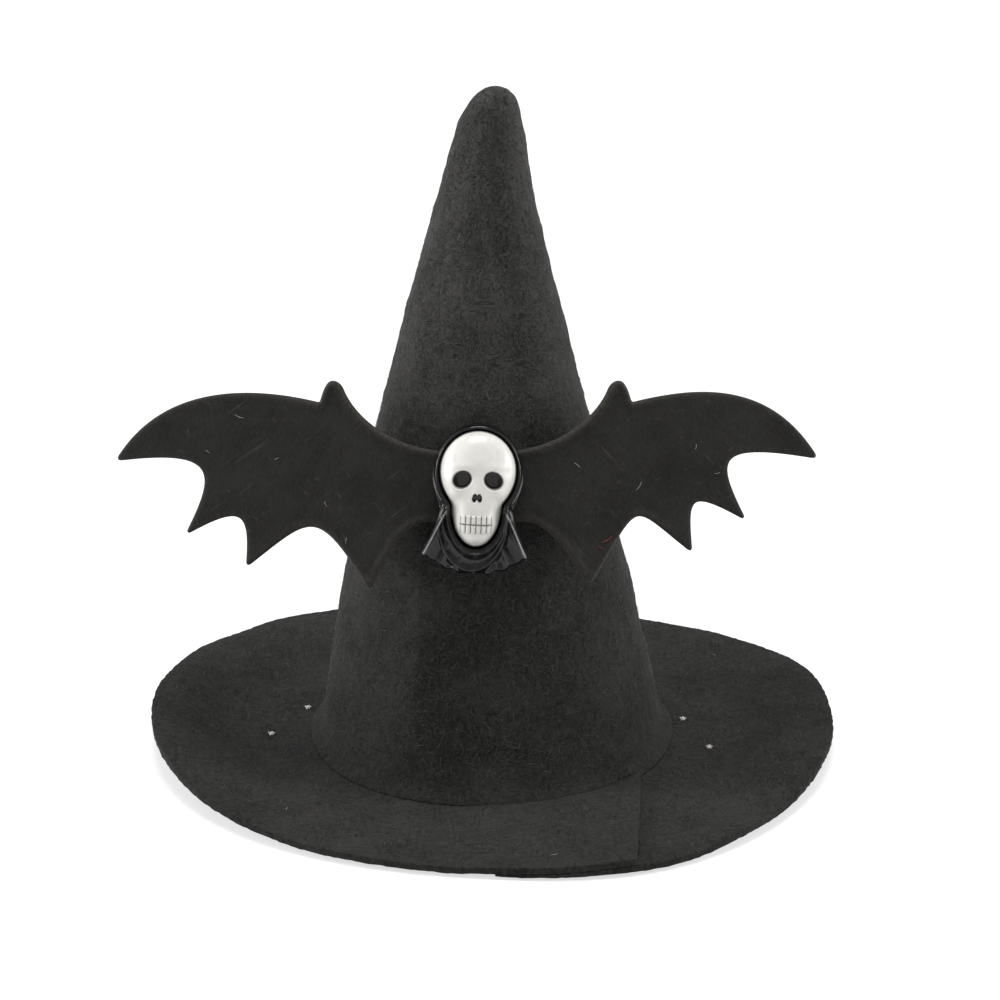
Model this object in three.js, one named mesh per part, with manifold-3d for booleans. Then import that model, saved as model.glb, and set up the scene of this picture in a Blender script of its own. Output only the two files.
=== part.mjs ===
// A doll-size witch hat in black wool felt. A blunt cone is set through a slit brim, and two cut felt
// bat wings are glued to its front behind a cast hooded skull. Millimetres, +Z up. The origin is the
// middle of the head opening, on the plane that the hat stands on, and the front faces -Y. Left and
// right are as seen from the front, so left is -X.
import * as THREE from 'three';
import { mergeVertices } from 'three/addons/utils/BufferGeometryUtils.js';
import Module from 'manifold-3d';

const wasm = await Module();
wasm.setup();

// Driving dimensions
const hatHeight = 129.3;
const brimRadius = 65.4;
const feltThickness = 1.3;
const glueThickness = 0.25;
const clearance = 0.3;

const crownFootRadius = 32.6; // of the plain cone; the foot flares out beyond it
const crownShoulderRadius = 26.9;
const crownShoulderHeight = 36;
const crownSwellHeight = 24; // where the flank, run on downwards, turns in to the foot
const crownTipRadius = 4.5;
const crownWall = 1.5;
const footFlare = { front: 4.2, sides: 0.8, height: 9, spread: THREE.MathUtils.degToRad(62) };
const footInset = 1; // the pressed foot is this much thicker than the wall, inwards

const crownBow = -1.55; // how far the middle of the cone leans sideways
const bowOvershoot = 20; // the bow would come back to the axis this far above the tip
const tipNod = 1.3; // how far the tip comes back over the foot
const tipNodStart = 105;

const brimFlatWidth = 12.4; // the brim lies level from the crown's foot out to here
const brimLift = { left: 5, right: 3.2 }; // rise of the brim's edge at each side
const brimRest = 0.15; // clearance of its underside from the table
const brimWaves = [ // a hand-cut circle: how far its edge wanders out, how often, and where
  { swing: 0.8, lobes: 2, turn: THREE.MathUtils.degToRad(118) },
  { swing: 0.75, lobes: 3, turn: THREE.MathUtils.degToRad(-30) },
];
const brimBulges = [ // where the edge stands out or in: the lapped corner, the right and the back
  { out: 3.6, turn: THREE.MathUtils.degToRad(-66), spread: THREE.MathUtils.degToRad(20) },
  { out: 1.4, turn: THREE.MathUtils.degToRad(21), spread: THREE.MathUtils.degToRad(13) },
  { out: -2.6, turn: THREE.MathUtils.degToRad(58), spread: THREE.MathUtils.degToRad(16) },
];
const lapTopEnd = 26.6; // the upper end is cut across the brim here
const lapUnderEnd = 0.5; // the lower end is thinned out to here, below the upper one
const lapUnderEdge = 0.4; // its thickness there
const lapClimb = 9; // the stretch over which the upper end rises onto the lower

const tackHoleRadius = 0.8;
const tackThreadRadius = 0.45;
const tackBeadRadius = 0.75;
const tackBeadHeight = 0.5;
const tackSkew = THREE.MathUtils.degToRad(4.5); // the four tacks sit turned by this about the crown
const tacks = [
  { name: 'rear', reach: 4.1, turn: THREE.MathUtils.degToRad(9) },
  { name: 'front', reach: 9.9, turn: THREE.MathUtils.degToRad(-10) },
];

const charmHeight = 55; // height up the crown of the charm's middle
const charmOffset = -3; // the charm sits left of the crown's axis
const wingThickness = 1.6;
const wingHinge = 14; // the root tab ends and the free wing starts here
const wingHingeGap = 0.9;
const wingSweep = THREE.MathUtils.degToRad(10);
const wingRootTop = 10.6;
const wingRootBottom = -2;
const wingRootStraight = { top: 5, bottom: 9 }; // reach at which the root's edges start to curve

// Each hand-cut wing: its claw points, as reach out from the charm and height up the crown's front,
// and how far the scallop under its tip hooks upwards
const wingCuts = {
  left: {
    side: -1, hook: 3, tip: [67.5, 8.2], first: [54.3, -5.3], second: [42.9, -11.1], lobe: [19.7, -15],
  },
  right: {
    side: 1, hook: 5.5, tip: [64.1, 8.6], first: [50.4, -2.5], second: [40.3, -8.3], lobe: [21.1, -14.1],
  },
};
const wingThumb = { top: [27.1, 23.4], width: 2.2, notch: [28.8, 19.4] };
const wingArm = { leave: [14, 10.8], arrive: [22.5, 16] }; // pull of the curve from the root to the thumb
const wingArc = { leave: [13, 3], arrive: [-8.8, 14.3] }; // and of the arc from the thumb to the tip
const scallopHook = { leave: -20.7, arrive: [-5.4, 10.8] };
const scallopMiddle = { leave: [-11.3, 6.5], arrive: [-0.8, 9.8] };
const scallopInner = { leave: [-12, 9.5], arrive: [9.9, 16.4] };

const gluePadWidth = 20;
const gluePadHeight = 9;
const charmPadRadius = 5.5;

const hoodRim = 1; // wall of the hood around the skull
const hoodDepth = 5.6;
const hoodMiddle = 6.4;
const capeDepth = 3;
const capeShoulder = [6, 1.2];
const capeFlare = [7.6, -3.5]; // pull of the side from the shoulder to the corner
const capeCorner = [9.9, -8];
const capeFold = [6.1, -10.4];
const capeHem = -11.7;
const capeHemPull = 2.8;

const skullWidth = 13.4;
const skullHeight = 14.4;
const skullDepth = 4.7;
const skullMiddle = 7.6;
const skullFloor = 1.2; // the resin left behind the skull
const jawWidth = 8.6;
const jawHeight = 13;
const jawDepth = 3.9;
const jawMiddle = 0.9;
const eyeRadius = 1.9;
const eyeSpacing = 5.6;
const eyeDrop = 1.2; // below the middle of the skull
const noseRadius = 0.9;
const noseRise = 2.6; // above the middle of the jaw
const featureSink = 0.6; // how far behind the face's front the eyes and nose are centred
const toothWidth = 1.15;
const toothHeight = 1.3;
const toothGap = 0.3;
const toothCount = 6;

const crownSides = 48;
const crownBaseSteps = 10;
const brimSteps = 84;
const roundSides = 26;

// Materials
const felt = new THREE.MeshStandardMaterial({ color: 0x383735, roughness: 0.97, metalness: 0 });
const brimFelt = new THREE.MeshStandardMaterial({ color: 0x363533, roughness: 0.97, metalness: 0 });
const wingFelt = new THREE.MeshStandardMaterial({ color: 0x2c2b29, roughness: 0.85, metalness: 0 });
const glue = new THREE.MeshStandardMaterial({ color: 0xd8d2c4, roughness: 0.35, metalness: 0 });
const thread = new THREE.MeshStandardMaterial({ color: 0xb9b5ac, roughness: 0.7, metalness: 0 });
const blackResin = new THREE.MeshStandardMaterial({ color: 0x101011, roughness: 0.15, metalness: 0 });
const whiteResin = new THREE.MeshStandardMaterial({ color: 0xeae8e2, roughness: 0.3, metalness: 0 });

// A closed geometry, reduced to its positions so that its shared vertices are one
function weld(geometry) {
  const bare = geometry.clone();
  bare.deleteAttribute('normal');
  bare.deleteAttribute('uv');
  return mergeVertices(bare);
}

// The same surface as a solid that can be joined and cut
function solid(geometry) {
  const closed = weld(geometry);
  return new wasm.Manifold(new wasm.Mesh({
    numProp: 3,
    vertProperties: new Float32Array(closed.attributes.position.array),
    triVerts: new Uint32Array(closed.index.array),
  }));
}

function surface(cut) {
  const mesh = cut.getMesh();
  const geometry = new THREE.BufferGeometry();
  geometry.setAttribute('position', new THREE.BufferAttribute(new Float32Array(mesh.vertProperties), 3));
  geometry.setIndex(new THREE.BufferAttribute(new Uint32Array(mesh.triVerts), 1));
  geometry.computeVertexNormals();
  return geometry;
}

// Moves every vertex of a geometry by a rule
function reshape(geometry, rule) {
  const place = geometry.attributes.position;
  const point = new THREE.Vector3();
  for (let i = 0; i < place.count; i += 1) {
    rule(point.fromBufferAttribute(place, i));
    place.setXYZ(i, point.x, point.y, point.z);
  }
  geometry.computeVertexNormals();
  return geometry;
}

function named(name, geometry, material) {
  const mesh = new THREE.Mesh(geometry, material);
  mesh.name = name;
  return mesh;
}

const hat = new THREE.Group();

// Crown: a flank that is tangent to the round tip above and swells into the foot below
function flankLean(inset) {
  const shoulder = crownShoulderRadius - inset;
  const rise = hatHeight - crownTipRadius - crownShoulderHeight;
  return Math.atan2(shoulder, rise) - Math.asin((crownTipRadius - inset) / Math.hypot(shoulder, rise));
}

// Half outline of the cone from its foot to its apex, drawn inset by a wall or, if negative, let out
function conePoints(inset) {
  const lean = flankLean(inset);
  const tip = crownTipRadius - inset;
  const tipCentre = hatHeight - crownTipRadius;
  const shoulder = new THREE.Vector2(crownShoulderRadius - inset, crownShoulderHeight);
  const swell = new THREE.Vector2(
    shoulder.x + (crownShoulderHeight - crownSwellHeight) * Math.tan(lean), crownSwellHeight);
  const foot = new THREE.Vector2(crownFootRadius - inset, 0);
  const shoulderTop = new THREE.Vector2(tip * Math.cos(lean), tipCentre + tip * Math.sin(lean));
  const baseCurve = new THREE.QuadraticBezierCurve(foot, swell, shoulder);
  const base = [];
  for (let step = 0; step <= crownBaseSteps; step += 1) {
    base.push(baseCurve.getPoint((step / crownBaseSteps) ** 2));
  }
  const flank = new THREE.LineCurve(shoulder, shoulderTop).getPoints(9).slice(1);
  const cap = new THREE.EllipseCurve(0, tipCentre, tip, tip, lean, Math.PI / 2).getPoints(5).slice(1);
  cap[cap.length - 1].x = 0;
  return [...base, ...flank, ...cap];
}

// Sideways place of the cone's axis at a height: a bow from the foot to above the tip, and the tip's nod
function axisShift(z) {
  const bow = crownBow * Math.sin(Math.PI * z / (hatHeight + bowOvershoot));
  return bow + tipNod * THREE.MathUtils.smoothstep(z, tipNodStart, hatHeight);
}

// How far the foot is pressed out at a turn from the front: most in front, little at the sides and back
function flareAt(turn) {
  const away = THREE.MathUtils.euclideanModulo(turn + Math.PI, 2 * Math.PI) - Math.PI;
  return footFlare.sides + (footFlare.front - footFlare.sides) * Math.exp(-((away / footFlare.spread) ** 4));
}

// A turned outline with its foot flared and its axis bowed
function turnedCone(points) {
  const geometry = new THREE.LatheGeometry(points, crownSides).rotateX(Math.PI / 2);
  return reshape(geometry, (p) => {
    const radius = Math.hypot(p.x, p.y);
    if (radius > 0) {
      const above = THREE.MathUtils.clamp((p.z - feltThickness) / (footFlare.height - feltThickness), 0, 1);
      const flare = flareAt(Math.atan2(p.x, -p.y)) * (1 - above) ** 2;
      p.x *= 1 + flare / radius;
      p.y *= 1 + flare / radius;
    }
    p.x += axisShift(p.z);
  });
}

// The cone as a closed solid, for cutting what is glued to it
const closedCone = (inset) => [new THREE.Vector2(0, 0), ...conePoints(inset)];

const outside = conePoints(0).filter((point) => point.y > feltThickness);
const inside = conePoints(crownWall).filter((point) => point.y > feltThickness);
const crownPoints = [
  ...inside.reverse(),
  new THREE.Vector2(crownFootRadius - crownWall - footInset, 0),
  new THREE.Vector2(crownFootRadius, 0),
  new THREE.Vector2(crownFootRadius, feltThickness),
  ...outside,
];
hat.add(named('crown_felt', turnedCone(crownPoints), felt));

// Brim: a slit ring round the crown's foot. It lies on the table, and its edge rises at both sides.
const bondGap = glueThickness + 2 * clearance;
const brimHoleRadius = crownFootRadius + bondGap;
const brimFlatRadius = crownFootRadius + brimFlatWidth;

function brimEdgeRadius(turn) {
  let radius = brimRadius;
  for (const { swing, lobes, turn: peak } of brimWaves) {
    radius += swing * Math.cos(lobes * (turn - peak));
  }
  for (const { out, turn: peak, spread } of brimBulges) {
    const away = THREE.MathUtils.euclideanModulo(turn - peak + Math.PI, 2 * Math.PI) - Math.PI;
    radius += out * Math.exp(-((away / spread) ** 2));
  }
  return radius;
}

function brimUnderside(radius, turn) {
  const sideways = Math.cos(turn);
  const lift = (sideways > 0 ? brimLift.right : brimLift.left) * Math.abs(sideways) ** 3;
  return brimRest + lift * THREE.MathUtils.smoothstep(radius, brimFlatRadius, brimRadius);
}

// Turn at which a straight cut across the front of the brim meets a circle of this radius
const cutTurn = (across, radius) => -Math.acos(across / radius);

// Thickness of the thinned lower end of the lap, and how far the upper end stands up over it
const lapUnderThickness = (x) => THREE.MathUtils.mapLinear(
  THREE.MathUtils.clamp(x, lapUnderEnd, lapTopEnd), lapUnderEnd, lapTopEnd, lapUnderEdge, feltThickness);
const lapRise = (x) => (lapUnderThickness(x) + clearance)
  * THREE.MathUtils.smoothstep(x, lapUnderEnd - lapClimb, lapUnderEnd - clearance);

function brimPoint(p, along, outward, up) {
  const drawnRadius = THREE.MathUtils.lerp(brimHoleRadius, brimRadius, outward);
  const start = cutTurn(lapUnderEnd, drawnRadius);
  const end = cutTurn(lapTopEnd, drawnRadius) + 2 * Math.PI;
  const turn = THREE.MathUtils.lerp(start, end, along);
  const hole = brimHoleRadius + flareAt(turn + Math.PI / 2);
  const radius = THREE.MathUtils.lerp(hole, brimEdgeRadius(turn), outward);
  p.set(radius * Math.cos(turn), radius * Math.sin(turn), brimUnderside(radius, turn));
  const upperEnd = turn > Math.PI;
  const lowerEnd = turn < 0;
  p.z += (upperEnd ? lapRise(p.x) : 0) + up * (lowerEnd ? lapUnderThickness(p.x) : feltThickness);
}

function brimRing() {
  const block = new THREE.BoxGeometry(1, 1, 1, brimSteps, 7, 1);
  return reshape(block, (p) => brimPoint(p, p.x + 0.5, 0.5 - p.y, p.z + 0.5));
}

// Glue bead between the foot's edge and the brim's
const beadRadius = crownFootRadius + clearance;
const bead = [
  new THREE.Vector2(beadRadius, brimRest),
  new THREE.Vector2(beadRadius + glueThickness, brimRest),
  new THREE.Vector2(beadRadius + glueThickness, feltThickness),
  new THREE.Vector2(beadRadius, feltThickness),
];
bead.push(bead[0].clone());
hat.add(named('crown_foot_glue', turnedCone(bead), glue));

let brim = solid(brimRing());
for (const side of [-1, 1]) {
  for (const tack of tacks) {
    const reach = crownFootRadius + tack.reach;
    const turn = tack.turn - side * tackSkew;
    const x = side * reach * Math.cos(turn);
    const y = reach * Math.sin(turn);
    const hole = new THREE.CylinderGeometry(tackHoleRadius, tackHoleRadius, 4 * feltThickness, 12);
    brim = brim.subtract(solid(hole.rotateX(Math.PI / 2).translate(x, y, feltThickness)));
    const over = brimRest + feltThickness + clearance;
    const knot = new THREE.LatheGeometry([
      new THREE.Vector2(0, brimRest),
      new THREE.Vector2(tackThreadRadius, brimRest),
      new THREE.Vector2(tackThreadRadius, over),
      new THREE.Vector2(tackBeadRadius, over),
      new THREE.Vector2(0, over + tackBeadHeight),
    ], 12).rotateX(Math.PI / 2).translate(x, y, 0);
    hat.add(named(`strap_tack_${side < 0 ? 'left' : 'right'}_${tack.name}`, knot, thread));
  }
}
hat.add(named('brim_felt', surface(brim), brimFelt));

// Front: the flat the wings and the charm are built on, leaning back against the cone. Here x runs to the
// wearer's left, y up the cone's front, and z out from it.
const lean = flankLean(0);
const frontFace = crownShoulderRadius - (charmHeight - crownShoulderHeight) * Math.tan(lean);
const front = new THREE.Group();
front.position.set(charmOffset, -frontFace, charmHeight);
front.rotation.x = Math.PI / 2 - lean;
front.updateMatrix();
hat.add(front);

const wingBack = clearance + glueThickness + clearance;
const wingMiddle = wingBack + wingThickness / 2;
const charmFloor = wingBack + wingThickness + bondGap;

// One wing's outline, drawn for a reach out to the left or right: the leading arm with its thumb claw,
// the long top arc, and a scallop below between each two claw points
function wingOutline({ side, hook, tip, first, second, lobe }) {
  const outline = new THREE.Shape();
  const at = ([x, y], dx = 0, dy = 0) => [side * (x + dx), y + dy];
  const curve = (from, to, { leave, arrive }) => {
    outline.bezierCurveTo(...at(from, ...leave), ...at(to, ...arrive), ...at(to));
  };
  const { top, width, notch } = wingThumb;
  const bottomStart = [wingRootStraight.bottom, wingRootBottom];
  outline.moveTo(...at([clearance, wingRootTop]));
  outline.lineTo(...at([wingRootStraight.top, wingRootTop]));
  outline.bezierCurveTo(...at(wingArm.leave), ...at(wingArm.arrive), ...at(top, -width, -width / 3));
  outline.quadraticCurveTo(...at(top, -width / 2, width / 4), ...at(top));
  outline.quadraticCurveTo(...at(top, width / 2, -width / 2), ...at(notch));
  curve(notch, tip, wingArc);
  curve(tip, first, { leave: [scallopHook.leave, hook], arrive: scallopHook.arrive });
  curve(first, second, scallopMiddle);
  curve(second, lobe, scallopInner);
  outline.quadraticCurveTo(...at([wingHinge, wingRootBottom]), ...at(bottomStart));
  outline.lineTo(...at([clearance, wingRootBottom]));
  return outline;
}

// A block of the front's space between two reaches, tall and deep enough to split a wing
function reachBlock(from, to, side) {
  const block = new THREE.BoxGeometry(to - from, 2 * hatHeight, 2 * hatHeight);
  return solid(block.translate(side * (from + to) / 2, 0, 0));
}

for (const [hand, cut] of Object.entries(wingCuts)) {
  const sheet = new THREE.ExtrudeGeometry(wingOutline(cut), {
    depth: wingThickness, bevelEnabled: false, curveSegments: 9,
  });
  const wing = solid(sheet.translate(0, 0, wingBack));
  const root = wing.intersect(reachBlock(0, wingHinge - wingHingeGap / 2, cut.side));
  front.add(named(`wing_root_${hand}`, surface(root), wingFelt));

  const hinge = new THREE.Group();
  hinge.position.set(cut.side * wingHinge, 0, wingMiddle);
  hinge.rotation.y = cut.side * wingSweep;
  front.add(hinge);
  const free = wing.intersect(reachBlock(wingHinge + wingHingeGap / 2, 2 * hatHeight, cut.side));
  const blade = surface(free.translate([-cut.side * wingHinge, 0, -wingMiddle]));
  hinge.add(named(`wing_${hand}`, blade, wingFelt));
}

// Glue pads: one shaped to the cone behind the wing roots, and one flat behind the charm
const padMiddle = (wingRootTop + wingRootBottom) / 2;
const padDepth = crownFootRadius / 4;
const padBlock = new THREE.BoxGeometry(gluePadWidth, gluePadHeight, padDepth);
padBlock.translate(0, padMiddle, wingBack - clearance - padDepth / 2).applyMatrix4(front.matrix);
const pad = solid(padBlock).subtract(solid(turnedCone(closedCone(-clearance))));
hat.add(named('wing_glue_pad', surface(pad), glue));

const charmPad = new THREE.CylinderGeometry(charmPadRadius, charmPadRadius, glueThickness, roundSides);
charmPad.rotateX(Math.PI / 2).translate(0, padMiddle, charmFloor - bondGap / 2);
front.add(named('charm_glue_pad', charmPad, glue));

// Charm: a cast hood and cape with a socket in its face, and the skull set in the socket
function dome(width, height, depth, middle, floor) {
  const ball = new THREE.SphereGeometry(0.5, roundSides, roundSides / 2);
  return solid(ball.scale(width, height, 2 * depth).translate(0, middle, floor));
}

// A straight-sided oval socket of the given size, open to the front
function ovalSocket(width, height, middle, floor) {
  const wall = new THREE.CylinderGeometry(0.5, 0.5, 4 * hoodDepth, roundSides).rotateX(Math.PI / 2);
  return solid(wall.scale(width, height, 1).translate(0, middle, floor + 2 * hoodDepth));
}

// The cape: from each shoulder the side flares to a corner, and the hem hangs in a curve between the two
function capeBlock() {
  const outline = new THREE.Shape();
  const left = ([x, y]) => [-x, y];
  outline.moveTo(...left(capeShoulder));
  outline.quadraticCurveTo(...left(capeFlare), ...left(capeCorner));
  outline.lineTo(...left(capeFold));
  outline.quadraticCurveTo(-capeHemPull, capeHem, 0, capeHem);
  outline.quadraticCurveTo(capeHemPull, capeHem, ...capeFold);
  outline.lineTo(...capeCorner);
  outline.quadraticCurveTo(...capeFlare, ...capeShoulder);
  const sheet = new THREE.ExtrudeGeometry(outline, {
    depth: capeDepth, bevelEnabled: false, curveSegments: 5,
  });
  return solid(sheet.translate(0, 0, charmFloor));
}

// The space in front of a level
function frontOf(level) {
  const block = new THREE.BoxGeometry(4 * hoodWidth, 4 * hoodWidth, 4 * hoodWidth);
  return solid(block.translate(0, 0, level + 2 * hoodWidth));
}

const skullBack = charmFloor + skullFloor;
const hoodWidth = skullWidth + 2 * (clearance + hoodRim);
const hoodHeight = 2 * (skullMiddle + skullHeight / 2 + clearance + hoodRim - hoodMiddle);
const hoodBody = dome(hoodWidth, hoodHeight, hoodDepth, hoodMiddle, charmFloor)
  .intersect(frontOf(charmFloor))
  .add(capeBlock());
const socketWidth = 2 * clearance;
const socketFloor = skullBack - clearance;
const faceSocket = ovalSocket(skullWidth + socketWidth, skullHeight + socketWidth, skullMiddle, socketFloor)
  .add(ovalSocket(jawWidth + socketWidth, jawHeight + socketWidth, jawMiddle, socketFloor));
front.add(named('charm_hood', surface(hoodBody.subtract(faceSocket)), blackResin));

let skull = dome(skullWidth, skullHeight, skullDepth, skullMiddle, skullBack)
  .add(dome(jawWidth, jawHeight, jawDepth, jawMiddle, skullBack))
  .intersect(frontOf(skullBack));
const faceFront = skullBack + skullDepth;
const carve = (shape, x, y, z) => {
  skull = skull.subtract(solid(shape.translate(x, y, z)));
};
for (const side of [-1, 1]) {
  const eye = new THREE.SphereGeometry(eyeRadius, 14, 10);
  carve(eye, side * eyeSpacing / 2, skullMiddle - eyeDrop, faceFront - featureSink);
}
const nose = new THREE.ConeGeometry(noseRadius, 3 * noseRadius, 8);
carve(nose, 0, jawMiddle + noseRise, faceFront - featureSink);
const biteLine = jawMiddle - jawHeight / 4;
const bite = new THREE.BoxGeometry((toothCount - 1) * toothWidth, toothGap, skullDepth);
carve(bite, 0, biteLine, faceFront);
for (let gap = 1; gap < toothCount; gap += 1) {
  const slit = new THREE.BoxGeometry(toothGap, 2 * toothHeight, skullDepth);
  carve(slit, (gap - toothCount / 2) * toothWidth, biteLine, faceFront);
}
front.add(named('charm_skull', surface(skull), whiteResin));

export default hat;
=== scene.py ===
"""A doll-size witch hat: a creased cone of black needle felt set through a lapped felt brim, with two cut
felt bat wings and a cast hooded skull on its front. Metres, +Z up, and the front faces -Y. Left and right
are as seen from the front, so left is -X."""

import math

import bpy
import numpy as np
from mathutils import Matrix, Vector
from mathutils.geometry import delaunay_2d_cdt


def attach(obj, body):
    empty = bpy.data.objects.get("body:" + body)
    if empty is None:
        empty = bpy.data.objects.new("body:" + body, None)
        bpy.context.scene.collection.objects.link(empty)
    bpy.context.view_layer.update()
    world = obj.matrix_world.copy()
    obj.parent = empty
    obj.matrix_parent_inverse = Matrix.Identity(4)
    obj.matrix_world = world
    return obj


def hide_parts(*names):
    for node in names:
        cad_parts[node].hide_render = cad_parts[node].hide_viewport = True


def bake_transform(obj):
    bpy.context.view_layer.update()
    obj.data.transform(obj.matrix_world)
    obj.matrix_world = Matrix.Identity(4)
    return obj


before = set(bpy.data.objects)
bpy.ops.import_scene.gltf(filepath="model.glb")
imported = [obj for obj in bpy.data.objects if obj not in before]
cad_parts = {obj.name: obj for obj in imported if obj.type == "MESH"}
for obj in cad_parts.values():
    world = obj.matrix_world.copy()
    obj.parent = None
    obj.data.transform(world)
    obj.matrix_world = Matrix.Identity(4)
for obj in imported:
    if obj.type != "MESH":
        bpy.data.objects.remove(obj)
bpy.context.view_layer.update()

mm = 0.001
scene = bpy.context.scene

# ---------------------------------------------------------------------------------------------------------
# Camera, table and light. The hat stands on a white table that glows evenly itself, which keeps the shadow
# under the brim weak. A pale sky and a soft box overhead light it, and one at each side the cone's flanks.
# ---------------------------------------------------------------------------------------------------------


def aimed(item, place, target):
    """Stands a camera or lamp at a place, with its -Z axis towards the target and its top up."""
    item.location = place
    item.rotation_euler = (Vector(target) - Vector(place)).to_track_quat("-Z", "Y").to_euler()
    scene.collection.objects.link(item)
    return item


lens = bpy.data.cameras.new("camera")
lens.lens = 196.6
lens.clip_start = 0.01
camera = aimed(bpy.data.objects.new("camera", lens), (0, -0.9629, 0.4189), (0.0015, 0, 0.048))
scene.camera = camera
scene.view_settings.view_transform = "Standard"

sky = bpy.data.worlds.new("white sky")
sky.use_nodes = True
sky.node_tree.nodes["Background"].inputs["Color"].default_value = (1, 1, 1, 1)
sky.node_tree.nodes["Background"].inputs["Strength"].default_value = 0.52
scene.world = sky

soft_boxes = [
    ("left", (-0.98, 0, 0.27), 7.3), ("right", (0.98, 0, 0.27), 5.3), ("overhead", (0, -0.03, 1.06), 8.4)]
for name, place, watts in soft_boxes:
    panel = bpy.data.lights.new(f"soft box {name}", "AREA")
    panel.shape = "SQUARE"
    panel.size = 0.5
    panel.energy = watts
    aimed(bpy.data.objects.new(panel.name, panel), place, (0, 0, 0.06))

table_half = 3.0
table_mesh = bpy.data.meshes.new("table")
table_mesh.from_pydata(
    [(x * table_half, y * table_half, -0.2 * mm) for x, y in ((-1, -1), (1, -1), (1, 1), (-1, 1))],
    [], [(0, 1, 2, 3)])
table = bpy.data.objects.new("table", table_mesh)
scene.collection.objects.link(table)
table_paint = bpy.data.materials.new("white table")
table_paint.use_nodes = True
table_surface = table_paint.node_tree.nodes["Principled BSDF"]
table_surface.inputs["Base Color"].default_value = (0.4, 0.4, 0.4, 1)
table_surface.inputs["Emission Color"].default_value = (1, 1, 1, 1)
table_surface.inputs["Emission Strength"].default_value = 0.65
table_surface.inputs["Roughness"].default_value = 0.9
table_mesh.materials.append(table_paint)

# ---------------------------------------------------------------------------------------------------------
# Crown. One sheet of needled wool felt 1.5 mm thick, rolled into a cone with a glued lap down the back and
# blocked over a mould, which left soft creases down it. Its foot is pressed out, most in front, and glued
# inside the brim's opening, with a thin lip of felt spread over the joint.
# ---------------------------------------------------------------------------------------------------------

hat_height = 129.3 * mm
crown_wall = 1.5 * mm
foot_radius = 32.6 * mm
shoulder_radius = 26.9 * mm
shoulder_height = 36 * mm
swell_height = 24 * mm
tip_radius = 4.5 * mm
foot_inset = 1.0 * mm
felt_thickness = 1.3 * mm


def smoothstep(x, low, high):
    """0 below low, 1 above high, and 3t^2 - 2t^3 between them."""
    t = np.clip((np.asarray(x, float) - low) / (high - low), 0, 1)
    return t * t * (3 - 2 * t)


def ripple(points, length, seed, waves=18):
    """An even roughness: the sum of sine waves of one length in random directions, about -1 to 1."""
    rng = np.random.default_rng(seed)
    ways = rng.normal(size=(waves, 3))
    ways *= 2 * np.pi / length / np.linalg.norm(ways, axis=1, keepdims=True)
    phase = rng.uniform(0, 2 * np.pi, waves)
    return np.sin(points @ ways.T + phase).sum(-1) / math.sqrt(waves)


def new_piece(name, points, faces, material):
    """A smooth-shaded mesh of these points and faces, in place."""
    mesh = bpy.data.meshes.new(name)
    mesh.from_pydata(points.tolist(), [], [list(face) for face in faces])
    mesh.shade_smooth()
    mesh.materials.append(material)
    piece = bpy.data.objects.new(name, mesh)
    scene.collection.objects.link(piece)
    return piece


def rings_skin(rings):
    """Closes a stack of rings, given as rings x points x 3, into one skin: quads between neighbouring rings,
    and a fan to the middle of the first ring and of the last, which are drawn together to one point."""
    count, around = rings.shape[:2]
    points = np.concatenate([rings[0].mean(0)[None], rings[1:-1].reshape(-1, 3), rings[-1].mean(0)[None]])
    start = 1 + np.arange(count - 3)[:, None] * around
    here = start + np.arange(around)
    there = start + np.roll(np.arange(around), -1)
    quads = np.stack([here, there, there + around, here + around], -1).reshape(-1, 4)
    first, last = here[0], here[-1] + around
    fan_in = np.stack([np.zeros(around, int), np.roll(first, -1), first], -1)
    fan_out = np.stack([last, np.roll(last, -1), np.full(around, len(points) - 1)], -1)
    return points, [*quads.tolist(), *fan_in.tolist(), *fan_out.tolist()]


def cone_outline(inset, foot_steps, flank_steps, tip_steps):
    """Half outline of the cone from its foot to its apex, set in by a distance: a quadratic curve from the
    foot to the shoulder, a straight flank, and the arc of the round tip that the flank is tangent to."""
    tip = tip_radius - inset
    shoulder = np.array([shoulder_radius - inset, shoulder_height])
    middle = hat_height - tip_radius
    rise = middle - shoulder_height
    lean = math.atan2(shoulder[0], rise) - math.asin(tip / math.hypot(shoulder[0], rise))
    swell = np.array([shoulder[0] + (shoulder_height - swell_height) * math.tan(lean), swell_height])
    foot = np.array([foot_radius - inset, 0])
    t = np.linspace(0, 1, foot_steps, endpoint=False)[:, None]
    base = (1 - t) ** 2 * foot + 2 * t * (1 - t) * swell + t * t * shoulder
    top = np.array([tip * math.cos(lean), middle + tip * math.sin(lean)])
    flank = shoulder + np.linspace(0, 1, flank_steps, endpoint=False)[:, None] * (top - shoulder)
    turn = np.linspace(lean, np.pi / 2, tip_steps)
    cap = np.stack([tip * np.cos(turn), middle + tip * np.sin(turn)], -1)
    return np.concatenate([base, flank, cap])


def axis_shift(z):
    """Sideways place of the cone's axis: a bow of half a sine wave, and the nod of the tip back over it."""
    bow = -1.55 * np.sin(np.pi * z / (hat_height + 20 * mm))
    return (bow + 1.3 * smoothstep(z, 105 * mm, hat_height)) * mm


def degrees_between(turn, middle):
    """Turn from a middle, in degrees, brought into -180 to 180."""
    return (np.degrees(turn) - middle + 180) % 360 - 180


def crease(turn, z, low, high, width, depth):
    """A soft groove down the cone from (height, degrees) low to high, fading out past both: depth times a
    bell of the arc away from its line, whose width is in degrees."""
    (low_z, low_turn), (high_z, high_turn) = low, high
    t = np.clip((z - low_z) / (high_z - low_z), 0, 1)
    away = degrees_between(turn, low_turn + t * (high_turn - low_turn))
    fade = smoothstep(z, low_z - 12 * mm, low_z + 4 * mm)
    fade = fade * (1 - smoothstep(z, high_z - 4 * mm, high_z + 12 * mm))
    return -depth * fade * np.exp(-((away / width) ** 2))


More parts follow.
